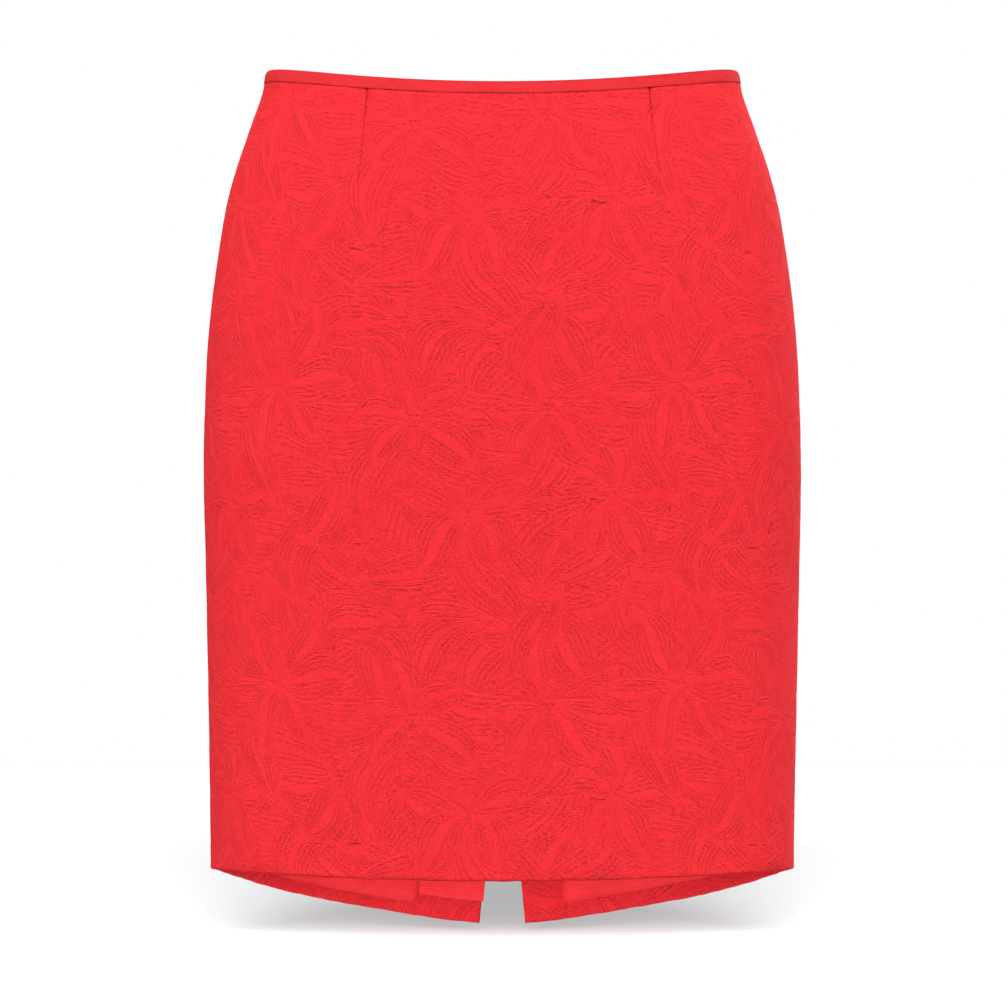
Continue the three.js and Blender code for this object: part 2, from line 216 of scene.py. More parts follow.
def grid(columns, top, bottom, rows):
    """Angles and heights of a grid whose rows are shares of the way from its top to its bottom edge."""
    shares = np.asarray(rows)[:, None]

    def angles(z):
        across = [a(z[:, i]) * (1 - t) + b(z[:, i]) * t for i, (a, b, t) in enumerate(columns)]
        return np.stack(across, 1)

    # The angles depend on the heights and the heights on the angles, so they are found by turns.
    z = np.repeat(shares * HEM["side"], len(columns), 1)
    for _ in range(GRID_TURNS):
        angle = angles(z)
        z = top(angle) * (1 - shares) + bottom(angle) * shares
    return angles(z), z


def arc_lengths(points, start):
    """Distance along each row of a grid of points, level, counted from a column."""
    steps = np.linalg.norm(np.diff(points[..., :2], axis=1), axis=-1)
    run = np.concatenate([np.zeros((len(points), 1)), np.cumsum(steps, 1)], 1)
    return run - run[:, start : start + 1]


def indices(rows, columns, first=0):
    return first + np.arange(rows * columns).reshape(rows, columns)


def quads(index):
    corners = [index[:-1, :-1], index[1:, :-1], index[1:, 1:], index[:-1, 1:]]
    return np.stack(corners, -1).reshape(-1, 4)


def rim_of(index):
    """The indices round the edge of a grid, clockwise from its top left corner as its outside is seen."""
    return np.concatenate([index[0, :], index[1:, -1], index[-1, -2::-1], index[-2:0:-1, 0]])


def linked(name, data):
    made = bpy.data.objects.new(name, data)
    bpy.context.scene.collection.objects.link(made)
    return made


def new_object(name, points, faces, attributes=None):
    mesh = bpy.data.meshes.new(name)
    mesh.from_pydata((np.asarray(points) * MM).tolist(), [], faces)
    for key, values in (attributes or {}).items():
        values = np.asarray(values, np.float32)
        kind, field = ("FLOAT_VECTOR", "vector") if values.ndim == 2 else ("FLOAT", "value")
        mesh.attributes.new(key, kind, "POINT").data.foreach_set(field, values.ravel())
    mesh.polygons.foreach_set("use_smooth", [True] * len(mesh.polygons))
    mesh.update()
    return linked(name, mesh)


def shell(name, outer, inner, attributes, stride=2, inner_attributes=None):
    """A closed thin shell from a grid of outer points and one of inner points, whose rows run downwards and
    whose columns run anticlockwise seen from above. The inner side keeps one row and column in a stride."""
    inner_attributes = inner_attributes or attributes
    inner = inner[::stride, ::stride]
    points = np.concatenate([outer.reshape(-1, 3), inner.reshape(-1, 3)])
    count = outer[..., 0].size
    outside, within = indices(*outer.shape[:2]), indices(*inner.shape[:2], count)
    edge_out, edge_in = rim_of(outside), rim_of(within)
    ends = [np.roll(edge_out, -k)[::stride] for k in range(stride + 1)]
    rim = np.stack([*ends, np.roll(edge_in, -1), edge_in], -1)
    faces = [*quads(outside).tolist(), *quads(within)[:, ::-1].tolist(), *rim.tolist()]
    both = {}
    for key, values in attributes.items():
        inner_values = inner_attributes[key][::stride, ::stride].reshape(inner[..., 0].size, -1)
        both[key] = np.concatenate([values.reshape(count, -1), inner_values]).squeeze()
    return new_object(name, points, faces, both)


# The embossed pattern, in millimetres of flat cloth: a repeat of open flowers and long swept leaves, with
# lines inside each that follow its outline, and long waves on the ground between them. The widths, bends and
# sways are shares of a petal's length, a core is a number of lines, a tip is the share of its length by which
# a petal's ends are cut off, and no line is steeper than so many lines in a millimetre.
REPEAT = (238.0, 170.0)
FLOWERS = {
    "across": (20, 96, 176, 58, 140, 214, 22, 100, 182),
    "up": (22, 40, 14, 84, 96, 74, 134, 148, 128),
    "turn": (8, 40, 70, 22, 55, 12, 34, 64, 28),
    "reach": (50, 42, 54, 44, 50, 46, 43, 52, 45),
    "petals": (6, 5, 6, 5, 6, 5, 5, 6, 5),
}
LEAF = {"turns": (35, 125, 215, 305), "reach": 1.6, "width": 0.18, "bend": 0.24, "sway": 0.09, "core": 0.5}
LEAF |= {"turn_spread": (-20, 20), "length_spread": (0.85, 1.1), "bend_spread": (0.6, 1.2)}
PETAL = {"width": 0.25, "bend": 0.12, "sway": 0.05, "core": 0.9, "turn_spread": (-0.15, 0.15)}
PETAL |= {"length_spread": (0.78, 1.12), "width_spread": (0.8, 1.25), "bend_spread": (0.3, 1.5)}
TIP = 0.01
BLUNTNESS = 0.9
LINE = 3.2
GROUND = {"slant": (0.8, 0.6), "line": 3.8, "wave": 12, "length": 21, "drift": 33, "swing": 1.1}
PUFF = {"height": 0.16, "full_width": 9}
RIM = {"reach": 6.0, "depth": 0.1, "width": 1.3}
STEEPEST = 0.25
BEADS = {"count": 6, "ring": 3.6, "radius": 1.5, "within": 12.0}


def petals_of_pattern():
    """The pattern's leaves and petals, from the back to the front: where each begins, its direction,
    length, half width, bend, sway and how many lines its plain core takes up."""
    random = np.random.default_rng(4)
    petals = []
    for x, y, turn, reach, count in zip(*FLOWERS.values()):
        for leaf_turn in LEAF["turns"]:
            length = reach * LEAF["reach"] * random.uniform(*LEAF["length_spread"])
            direction = math.radians(turn + leaf_turn + random.uniform(*LEAF["turn_spread"]))
            bend = LEAF["bend"] * random.choice((-1, 1)) * random.uniform(*LEAF["bend_spread"])
            sway = LEAF["sway"] * random.uniform(-1, 1)
            petals.append((x, y, direction, length, length * LEAF["width"], bend, sway, LEAF["core"]))
        for k in range(count):
            direction = math.radians(turn + 360 * (k + random.uniform(*PETAL["turn_spread"])) / count)
            length = reach * random.uniform(*PETAL["length_spread"])
            width = length * PETAL["width"] * random.uniform(*PETAL["width_spread"])
            bend = PETAL["bend"] * random.choice((-1, 1)) * random.uniform(*PETAL["bend_spread"])
            sway = PETAL["sway"] * random.uniform(-1, 1)
            petals.append((x, y, direction, length, width, bend, sway, PETAL["core"]))
    return petals


PETALS = petals_of_pattern()


def wrapped(u, v, x, y):
    """How far points of the cloth are from the nearest repeat of a place in the pattern."""
    across, up = u - x, v - y
    return across - REPEAT[0] * np.round(across / REPEAT[0]), up - REPEAT[1] * np.round(up / REPEAT[1])


def ground_waves(u, v):
    """The phase and the gauge of the long slanting waves on the ground."""
    c, s = GROUND["slant"]
    along, up = c * u + s * v, c * v - s * u
    turn = along / GROUND["length"] + GROUND["swing"] * np.sin(up / GROUND["drift"])
    steep = GROUND["wave"] * np.cos(turn)
    rise = 1 + steep * GROUND["swing"] / GROUND["drift"] * np.cos(up / GROUND["drift"])
    phase = (up + GROUND["wave"] * np.sin(turn)) / GROUND["line"]
    return phase, GROUND["line"] / np.hypot(steep / GROUND["length"], rise)


def from_hearts(u, v):
    """The way from the heart of the nearest flower that has beads, and how far it is."""
    heart = np.full(u.shape + (3,), BEADS["within"])
    near = np.full_like(u, BEADS["within"])
    for x, y in list(zip(FLOWERS["across"], FLOWERS["up"]))[::2]:
        across, up = wrapped(u, v, x, y)
        distance = np.hypot(across, up)
        nearer = distance < near
        near = np.where(nearer, distance, near)
        heart = np.where(nearer[..., None], np.stack([across, up, 0 * up], -1), heart)
    return heart, near


def relief(u, v):
    """The pattern's fields at points of the flat cloth, and how puffed up the cloth is there. A line runs
    wherever its phase is a whole number: 0 at the edge of a petal and more inside it. The gauge is how far
    apart the lines are, the rim how near the edge of a petal is, the heart the way from a flower's centre,
    and the bloom how near that centre is."""
    phase, gauge = ground_waves(u, v)
    puff = np.zeros_like(u)
    edge = np.full_like(u, RIM["reach"])
    for x, y, direction, length, half, bend, sway, core in PETALS:
        c, s = math.cos(direction), math.sin(direction)
        across, up = wrapped(u, v, x + c * length / 2, y + s * length / 2)
        along = (across * c + up * s) / length + 0.5
        held = np.clip(along, TIP, 1 - TIP)
        width = half * np.sin(math.pi * held) ** BLUNTNESS
        middle = bend * 4 * along * (1 - along) + sway * np.sin(2 * math.pi * held)
        away = np.abs(-across * s + up * c - length * middle)
        beyond = length * np.maximum(0, np.maximum(TIP - along, along - (1 - TIP)))
        outside = np.hypot(beyond, np.maximum(0, away - width))
        inner = 1 - away / width
        on = (beyond == 0) & (inner > 0)
        lines = max(2, round(half / LINE)) + core - 0.5
        edge = np.where(on, inner * width, np.minimum(edge, outside))
        phase = np.where(on, np.minimum(inner * lines, lines - core), phase)
        gauge = np.where(on, width / lines, gauge)
        puff = np.where(on, inner * (2 - inner) * np.minimum(width / PUFF["full_width"], 1), puff)
    slope = np.gradient(phase, axis=0) / np.gradient(v, axis=0)
    heart, near = from_hearts(u, v)
    fields = {
        "phase": phase,
        "slope": np.clip(slope, -STEEPEST, STEEPEST),
        "gauge": gauge,
        "rim": edge,
        "heart": heart,
        "bloom": smooth(2.5 * (1 - near / BEADS["within"])),
    }
    return fields, puff


# Materials. The embossed cloth's weft has one pick in every so many millimetres; the numbers for its bump
# are millimetres, and those for its shade are steps between its darker and its lighter red. Its crease step
# is painted shade, darkening the cloth along the stitches of the darts and seams.
PICK = 1.5
LINE_WIDTH = 0.85
BUMP = {"groove": -1.1, "bead": 0.4, "crease": -0.5, "grain": 1.05}
# The groove step is painted light: it lifts the grooves' red against the shading that their bump gives them.
SHADE = {"mottle": (0.5, 0.25), "groove": 0.08, "crease": -0.9, "threads": 1.5}


def put(tree, value, socket):
    """Links another node's output to a socket, or sets a plain value there."""
    if isinstance(value, bpy.types.NodeSocket):
        tree.links.new(value, socket)
    else:
        socket.default_value = value


def node(tree, kind, **inputs):
    """A shader node of a kind, whose inputs are given by name."""
    made = tree.nodes.new("ShaderNode" + kind)
    for key, value in inputs.items():
        put(tree, value, made.inputs[key])
    return made


def maths(tree, operation, a, b=0.0, c=0.0):
    made = node(tree, "Math")
    made.operation = operation
    for value, socket in zip((a, b, c), made.inputs):
        put(tree, value, socket)
    return made.outputs[0]


def times(tree, a, b):
    return maths(tree, "MULTIPLY", a, b)


def hypotenuse(tree, x, y):
    return maths(tree, "SQRT", maths(tree, "MULTIPLY_ADD", x, x, times(tree, y, y)))


def remap(tree, value, low, high, to_low=0.0, to_high=1.0):
    made = node(tree, "MapRange")
    made.interpolation_type = "SMOOTHSTEP"
    tree.links.new(value, made.inputs[0])
    for index, number in zip((1, 2, 3, 4), (low, high, to_low, to_high)):
        made.inputs[index].default_value = number
    return made.outputs[0]


def attribute(tree, name):
    made = node(tree, "Attribute")
    made.attribute_name = name
    return made


def components(tree, vector):
    return node(tree, "SeparateXYZ", Vector=vector).outputs


def noise(tree, vector, scale, detail=2.0, stretch=None):
    """Noise at a number of features a millimetre, stretched by a factor along each axis of the cloth."""
    if stretch:
        made = node(tree, "VectorMath")
        made.operation = "MULTIPLY"
        tree.links.new(vector, made.inputs[0])
        made.inputs[1].default_value = stretch
        vector = made.outputs[0]
    return node(tree, "TexNoise", Vector=vector, Scale=scale, Detail=detail).outputs["Fac"]


def mixed(tree, factor, low, high):
    made = node(tree, "Mix")
    made.data_type = "RGBA"
    tree.links.new(factor, made.inputs[0])
    made.inputs[6].default_value = (*low, 1)
    made.inputs[7].default_value = (*high, 1)
    return made.outputs[2]


def material(name, roughness, specular=0.2, sheen=0.0, sheen_roughness=0.5, sheen_tint=(1, 1, 1)):
    made = bpy.data.materials.new(name)
    made.use_nodes = True
    tree = made.node_tree
    shader = tree.nodes["Principled BSDF"]
    constants = {"Roughness": roughness, "Specular IOR Level": specular, "Sheen Weight": sheen}
    constants |= {"Sheen Roughness": sheen_roughness, "Sheen Tint": (*sheen_tint, 1)}
    for key, value in constants.items():
        shader.inputs[key].default_value = value
    return made, tree, shader


def bump(tree, shader, height):
    """Has a height in millimetres raise the surface."""
    made = node(tree, "Bump", Height=height, Strength=1.0, Distance=MM)
    tree.links.new(made.outputs["Normal"], shader.inputs["Normal"])


def weave(tree, cut, pitch_across, pitch_up):
    """A plain weave's height, from -1 to 1, over the cloth's own millimetres."""
    across, up, _ = components(tree, cut)
    warp = maths(tree, "SINE", times(tree, across, 2 * math.pi / pitch_across))
    weft = maths(tree, "SINE", times(tree, up, 2 * math.pi / pitch_up))
    return times(tree, warp, weft)


def beads(tree):
    """A ring of small beads round a flower's centre: 1 on them and 0 off them."""
    across, up, _ = components(tree, attribute(tree, "heart").outputs["Vector"])
    sector = 2 * math.pi / BEADS["count"]
    folded = maths(tree, "PINGPONG", maths(tree, "ARCTAN2", up, across), sector / 2)
    reach = hypotenuse(tree, across, up)
    along = times(tree, reach, maths(tree, "COSINE", folded))
    along = maths(tree, "SUBTRACT", along, BEADS["ring"])
    aside = times(tree, reach, maths(tree, "SINE", folded))
    ring = maths(tree, "MINIMUM", hypotenuse(tree, along, aside), reach)
    on = remap(tree, ring, BEADS["radius"] * 0.55, BEADS["radius"], 1.0, 0.0)
    return times(tree, on, attribute(tree, "bloom").outputs["Fac"])


def engraved_lines(tree, cut):
    """The pattern's lines, and the dips where one petal lies over another: 1 along them and 0 off them."""
    phase, slope, gauge, rim = (
        attribute(tree, name).outputs["Fac"] for name in ("phase", "slope", "gauge", "rim")
    )
    # The picks of the weft turn each slanting line into small level steps.
    height_up = maths(tree, "MULTIPLY_ADD", noise(tree, cut, 0.35, 1.0), 1.6, components(tree, cut)[1])
    step = maths(tree, "SUBTRACT", maths(tree, "SNAP", height_up, PICK), height_up)
    wander = times(tree, maths(tree, "SUBTRACT", noise(tree, cut, 0.12, 2.0), 0.5), 0.3)
    stepped = maths(tree, "ADD", maths(tree, "MULTIPLY_ADD", slope, step, phase), wander)
    from_line = times(tree, maths(tree, "PINGPONG", stepped, 0.5), gauge)
    line = remap(tree, from_line, LINE_WIDTH * 0.15, LINE_WIDTH, 1.0, 0.0)
    # Lines fade out where they crowd together and near the edges of the petals.
    line = times(tree, line, remap(tree, gauge, 0.8, 2.2))
    line = times(tree, line, remap(tree, rim, 1.2, 2.2))
    # The lines that run down the cloth are fainter than those that run across it.
    level = times(tree, maths(tree, "ABSOLUTE", slope), gauge)
    line = times(tree, line, remap(tree, level, 0.1, 0.8, 0.55, 1.0))
    return line, remap(tree, rim, 0.4, 1.4, 0.6, 0.0)


def embossed_cloth():
    made, tree, shader = material(
        "embossed_cloth", roughness=0.9, specular=0.04, sheen=0.02, sheen_tint=(1.0, 0.25, 0.22)
    )
    cut = attribute(tree, "cut").outputs["Vector"]
    line, overlap = engraved_lines(tree, cut)
    patches = remap(tree, noise(tree, cut, 0.03, 1.0), 0.35, 0.6, 0.7, 1.0)
    breaks = remap(tree, noise(tree, cut, 1.0, 1.0, (0.35, 1.7, 1.0)), 0.35, 0.6, 0.4, 1.0)
    breaks = times(tree, breaks, patches)
    bead = beads(tree)
    groove = times(tree, maths(tree, "MAXIMUM", line, overlap), breaks)
    groove = times(tree, groove, maths(tree, "SUBTRACT", 1.0, bead))
    # The crease along the stitches of the darts and seams dents the bump, and through the shade it is painted
    # shade: the cloth is painted darker there.
    crease = remap(tree, attribute(tree, "sewn").outputs["Fac"], 0.1, 0.65, 1.0, 0.0)
    grain = noise(tree, cut, 1.0, 2.0, (0.6, 2.0, 1.0))
    height = times(tree, groove, BUMP["groove"])
    for part, name in ((bead, "bead"), (crease, "crease"), (grain, "grain")):
        height = maths(tree, "MULTIPLY_ADD", part, BUMP[name], height)
    bump(tree, shader, height)
    threads = maths(tree, "SUBTRACT", noise(tree, cut, 1.0, 1.0, (0.7, 2.3, 1.0)), 0.5)
    # The shade mixes the cloth's random mottle and threads with painted light in the grooves and painted
    # shade along the stitches.
    shade = maths(tree, "MULTIPLY_ADD", noise(tree, cut, 0.03, 3.0), *SHADE["mottle"])
    for part, name in ((groove, "groove"), (crease, "crease"), (threads, "threads")):
        shade = maths(tree, "MULTIPLY_ADD", part, SHADE[name], shade)
    colour = mixed(tree, remap(tree, shade, -0.25, 1.1), (0.64, 0.0155, 0.022), (0.82, 0.0335, 0.0435))
    tree.links.new(colour, shader.inputs["Base Color"])
    return made


def plain_cloth(name, low, high, roughness, sheen, pitch, depth, specular=0.25, bias=0.0, slub=0.5):
    """A smooth woven cloth: the lining, the binding's strip and the zip's tape. Its bias is the angle of its
    threads to the edge."""
    made, tree, shader = material(name, roughness, specular, sheen, 0.4, (1.0, 0.3, 0.3))
    turned = node(tree, "VectorRotate", Vector=attribute(tree, "cut").outputs["Vector"], Angle=bias)
    turned.rotation_type = "Z_AXIS"
    cut = turned.outputs[0]
    slubs = noise(tree, cut, 0.8, 2.0, (0.35, 2.2, 1.0))
    slub_height = times(tree, slubs, depth * 1.6)
    bump(tree, shader, maths(tree, "MULTIPLY_ADD", weave(tree, cut, pitch, pitch * 0.8), depth, slub_height))
    shade = maths(tree, "MULTIPLY_ADD", slubs, slub, noise(tree, cut, 0.05, 3.0))
    colour = mixed(tree, remap(tree, shade, 0.3, 1.2), low, high)
    tree.links.new(colour, shader.inputs["Base Color"])
    return made


def painted_metal():
    made, tree, shader = material("painted_metal", roughness=0.4, specular=0.28)
    wear = noise(tree, node(tree, "TexCoord").outputs["Object"], 900.0, 3.0)
    colour = mixed(tree, remap(tree, wear, 0.3, 0.75), (0.55, 0.018, 0.024), (0.68, 0.026, 0.032))
    tree.links.new(colour, shader.inputs["Base Color"])
    bump(tree, shader, times(tree, wear, 0.02))
    return made


LOOKS = {"cloth": embossed_cloth(), "painted": painted_metal()}
# The binding's red is painted a little darker than the skirt's cloth, as painted shade against the light that
# falls on its up-facing top.
LOOKS["binding"] = plain_cloth(
    "binding_cloth", (0.56, 0.016, 0.021), (0.78, 0.033, 0.041), roughness=0.88, sheen=0.02, pitch=0.9,
    depth=0.22, specular=0.04, bias=math.radians(48), slub=1.2,
)
LOOKS["lining"] = plain_cloth(
    "lining_cloth", (0.48, 0.014, 0.02), (0.8, 0.029, 0.0375), roughness=0.55, sheen=0.02, pitch=0.5,
    depth=0.03, specular=0.12, slub=1.0,
)
LOOKS["tape"] = plain_cloth(
    "tape_cloth", (0.6, 0.016, 0.022), (0.72, 0.024, 0.03), roughness=0.8, sheen=0.1, pitch=1.1,
    depth=0.12, specular=0.2,
)


def finish_piece(piece, slot_name, *nodes, body="skirt"):
    piece.data.materials.append(LOOKS[slot_name])
    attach(piece, body)
    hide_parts(*nodes)
    return piece


# The shell's panels
PANEL_ROWS = 253
PANEL_LENGTH = 465
FOLD_RADIUS = 1.55
FOLD_ROWS = (2.6, 1.5, 0.9, 0.45, 0.12, 0.0)
SEAM_ROLL = {"depth": 0.55, "reach": 2.2}
UNSEWN = 3.0
BESIDE_SEAM = 2.4
BESIDE_DART = 2.5
REPEAT_STARTS = {"front": 0.0, "left": 70.0, "right": 74.0}

# How deep and how wide the parts of a dart are drawn in, how slack its lower stitches are, and how far round
# its tip they fade out
DART = {"stitches": (0.7, 0.8), "valley": (0.25, 4.5), "puckers": (0.07, 3.0), "dimple": (0.45, 7)}
SLACK = 0.45
DART_FADE = 9


def panel_rows(length):
    """Shares of the way down a panel: even steps, then closer ones at the rounded fold of the hem."""
    even = np.linspace(0, 1 - 4.5 / length, PANEL_ROWS)
    return np.concatenate([even, 1 - np.array(FOLD_ROWS) / length])


def fold_in(distance, radius=FOLD_RADIUS):
    """How far a folded edge has rolled inwards, at a distance from its end."""
    left = np.clip(1 - distance / radius, 0, 1)
    return radius * (1 - np.sqrt(np.clip(1 - left**2, 0, 1)))


def slack_stitches(share):
    """How slack a dart's stitches are at a share of the way up from its tip: 0 near the binding, where they
    pull hardest, and 1 lower down."""
    return 1 - smooth(4 * share - 2.8)


def drawn_in(angle, z, lines):
    """How deep the darts are drawn into the cloth. Each line of stitches has its angle, the height of its
    tip, and how far it runs."""
    depth = np.zeros_like(z)
    for line, tip, length in lines:
        away = np.abs(angle - line(z)) * curved("half", z)
        share = (z - tip) / length
        strength = smooth(share * 2.5) * (1 - SLACK * slack_stitches(share))
        amounts = {
            "stitches": strength,
            "valley": smooth(share * 1.6),
            "puckers": strength * np.sin(z * 1.35 + 2 * np.sin(z * 0.31)),
            "dimple": np.exp(-(((z - tip) / DART_FADE) ** 2)),
        }
        for name, amount in amounts.items():
            deep, wide = DART[name]
            depth += amount * deep * np.exp(-((away / wide) ** 2))
    return depth


def soft_creases(angle, z):
    """Broad, shallow undulations of the cloth as it hangs, outwards, in millimetres: waves that grow down the
    body, a wavy hem, and drag lines across the hips that rise towards the side seams."""
    wave = 0.28 * np.sin(angle * 7 + 0.6) * np.sin(z / 61 + 1.3 * angle)
    wave += 0.2 * np.sin(angle * 11.5 - 1.1) * np.sin(z / 87 + 2.1)
    hem_wave = 0.7 * np.sin(angle * 9 + 0.8 * np.sin(angle * 3))
    sideways = np.cos(angle) ** 2
    drag = 0.5 * np.sin((z + 102 * sideways) / 17) * np.exp(-(((z + 95) / 60) ** 2)) * sideways**2
    return smooth((-60 - z) / 300) * wave + smooth((-380 - z) / 110) * hem_wave + drag


def uneven_hem(u, above):
    """How far the folded edge of the hem is from even: it wavers a little, and less and less above it."""
    waver = 0.12 * np.sin(u / 5.3 + 2 * np.sin(u / 17)) + 0.08 * np.sin(u / 2.1 + np.sin(u / 9))
    return waver * smooth(1 - above / 14)


def at_stitches(angle, z, darts, seams):
    """How far the cloth rolls inwards at its seams, and how far each point is from the nearest stitches."""
    roll = np.zeros_like(z)
    sewn = np.full_like(z, UNSEWN)
    for line in seams:
        away = np.abs(angle - line(z)) * curved("front", z)
        roll += SEAM_ROLL["depth"] * smooth(1 - away / SEAM_ROLL["reach"]) ** 2
        sewn = np.minimum(sewn, away)
    for line, tip, length in darts:
        away = np.abs(angle - line(z)) * curved("half", z)
        past_tip = UNSEWN * (1 - smooth((z - tip) / DART_FADE))
        sewn = np.minimum(sewn, away + past_tip + 0.25 * slack_stitches((z - tip) / length))
    return roll, sewn


def panel(name, guides, counts, darts, seams, folds, repeat_at, zero):
    """One panel of the skirt: guides are the lines that its columns pass through, seams those that it is
    sewn at, folds those at which it is folded in, and zero the column where the pattern starts."""
    columns = columns_through(guides, counts)
    angle, z = grid(columns, under_binding, hem, panel_rows(PANEL_LENGTH))
    points = face(angle, z)
    u = arc_lengths(points, zero) + repeat_at
    above = z - hem(angle)
    fields, puff = relief(u, z)
    z = z + uneven_hem(u, above)
    roll, sewn = at_stitches(angle, z, darts, seams)
    for line in folds:
        away = np.abs(points[..., 0] - face(line(z), z)[..., 0])
        roll = np.maximum(roll, fold_in(away) * smooth((VENT_TOP - z) / 6))
    # The cloth swells to meet the binding, where its seam allowance lies behind it.
    swell = 0.25 * smooth(1 - (under_binding(angle) - z) / 5)
    dip = RIM["depth"] * (1 - smooth(fields["rim"] / RIM["width"]))
    height = PUFF["height"] * puff - dip + soft_creases(angle, z)
    ease = smooth(above / 6)
    depth_out = np.maximum(fold_in(above), roll) + drawn_in(angle, z, darts) - swell - height * ease
    turned = smooth((TURN_UP_HEIGHT - above) / 1.2)
    wall = SHELL + TURN_UP * turned
    wall_edge = np.minimum(fold_in(above), wall / 2 - 0.05)
    depth_in = wall - wall_edge - 0.7 * height * ease + 0.12 * puff * turned
    depth_in = np.maximum(depth_in, depth_out + 0.1)
    fields |= {"cut": np.stack([u, z, 0 * z], -1), "sewn": sewn}
    # On the coarser inner side the lines stop further from the petals' edges.
    inner_fields = fields | {"rim": fields["rim"] - 1.5}
    outer, inner = inside(angle, z, depth_out), inside(angle, z, depth_in)
    return shell(name, outer, inner, fields, inner_attributes=inner_fields)


def dart(ends, length, on_back):
    """A dart: its line, from the X of its top to the X of its tip, the height of its tip, and its length."""
    top, tip = ends
    start = float(under_binding(np.array(CENTRE_BACK if on_back else CENTRE_FRONT)))
    line = guide(lambda z: top + (tip - top) * np.clip((start - z) / length, 0, 1), on_back)
    return line, start - length, length


def front_panel():
    darts = [dart(FRONT_DARTS[side], FRONT_DART_LENGTH, False) for side in ("right", "left")]
    end = side_seam(-1)
    start = mirrored_in_front(end)
    guides = [start, beside(start, BESIDE_SEAM)]
    for line, _, _ in darts:
        guides += about(line, BESIDE_DART)
    guides += [beside(end, -BESIDE_SEAM), end]
    counts = (3, 78, 5, 5, 118, 5, 5, 72, 3)
    middle = sum(counts[:4]) + counts[4] // 2
    return panel("front_panel_cloth", guides, counts, darts, [start, end], [], REPEAT_STARTS["front"], middle)


def back_panel(name, side):
    """One back panel: side is 1 for the wearer's left and -1 for the right."""
    line, tip, length = dart(BACK_DART, BACK_DART_LENGTH, True)
    centre = guide(lambda z: straight(BACK_EDGE, "x", z), True)
    seam = side_seam(1)
    guides = [seam, beside(seam, BESIDE_SEAM), *about(line, BESIDE_DART)]
    guides += [beside(centre, -BESIDE_SEAM), centre]
    counts = (3, 110, 5, 5, 69, 6)
    zero, folded, start = sum(counts), -1, REPEAT_STARTS["left"]
    if side < 0:
        guides = [mirrored(guide_line) for guide_line in guides][::-1]
        counts = counts[::-1]
        zero, folded, start = 0, 0, REPEAT_STARTS["right"]
    darts = [(guides[3], tip, length)]
    return panel(name, guides, counts, darts, [guides[0], guides[-1]], [guides[folded]], start, zero)


# The binding's folded strip: its middle line from inside the outer fold to the top, as depth inside the
# skirt's face and drop below the top edge, and how deep the whole binding is
STRIP_LINE = [(0.75, 2.4), (0.7, 6.6), (0.5, 7.4), (0.12, 7.66), (-0.18, 7.58), (-0.28, 7.2), (-0.3, 4.4)]
STRIP_LINE += [(-0.25, 3.0), (-0.04, 1.8), (0.3, 1.0), (0.85, 0.52), (1.7, 0.36)]
STRIP = {"through": 3.4, "thick": 0.7, "steps": 44, "columns": 340}


def strip_section():
    """The strip's outline in section, as depth and drop, and how far across the strip each point is."""
    inner_line = [(STRIP["through"] - depth, drop) for depth, drop in STRIP_LINE[-2::-1]]
    line = np.array(STRIP_LINE + inner_line)
    steps = np.concatenate([[0], np.cumsum(np.linalg.norm(np.diff(line, axis=0), axis=1))])
    run = np.linspace(0, steps[-1], STRIP["steps"])
    line = np.stack([np.interp(run, steps, line[:, 0]), np.interp(run, steps, line[:, 1])], -1)
    along = np.gradient(line, axis=0)
    across = np.stack([-along[:, 1], along[:, 0]], -1) / np.linalg.norm(along, axis=1, keepdims=True)
    half = across * STRIP["thick"] / 2
    return np.concatenate([line + half, (line - half)[::-1]]), np.concatenate([run, run[::-1]])


def strip_end(ring):
    """The faces that close an end of the strip, from one side of its section to the other."""
    half = len(ring) // 2
    first, second = ring[:half], ring[half:][::-1]
    return np.stack([first[:-1], first[1:], second[1:], second[:-1]], -1)


def waist_binding():
    """A folded strip over the top edge: each wall is turned in at its lower edge. Its two ends are at the
    centre back."""
    section, across_strip = strip_section()
    depth, drop = section[:, 0][None, :], section[:, 1][None, :]
    end = float(guide(lambda z: 0.5 + 0 * z, True)(np.array(-4.0)))
    angle = np.linspace(math.pi - end, 2 * math.pi + end, STRIP["columns"])[:, None]
    # The stitches pull the lower edge in and out a little.
    pull = 0.1 * np.sin(angle * 43 + np.sin(angle * 9)) + 0.08 * np.sin(angle * 71 + 1)
    share = drop / BINDING_HEIGHT
    depth = depth - pull * share
    drop = drop + 0.1 * np.sin(angle * 17 + 1) * share
    angle = np.broadcast_to(angle, drop.shape)
    points = inside(angle, top_edge(angle) - drop, depth)
    length = arc_lengths(points.transpose(1, 0, 2), 0).T
    cut = np.stack([length, np.broadcast_to(across_strip, length.shape), 0 * length], -1)
    index = indices(*angle.shape)
    a, b = index[:-1], index[1:]
    sides = np.stack([a, b, np.roll(b, -1, 1), np.roll(a, -1, 1)], -1).reshape(-1, 4)
    faces = np.concatenate([sides, strip_end(index[0]), strip_end(index[-1])[:, ::-1]]).tolist()
    return new_object("waist_binding_cloth", points.reshape(-1, 3), faces, {"cut": cut.reshape(-1, 3)})


# The lining's own hem: how high it is turned up, where it is stitched, and how much thicker it is
LINING_HEM = {"height": 9.5, "stitches": 9, "thicker": 0.45, "edge": 0.8}


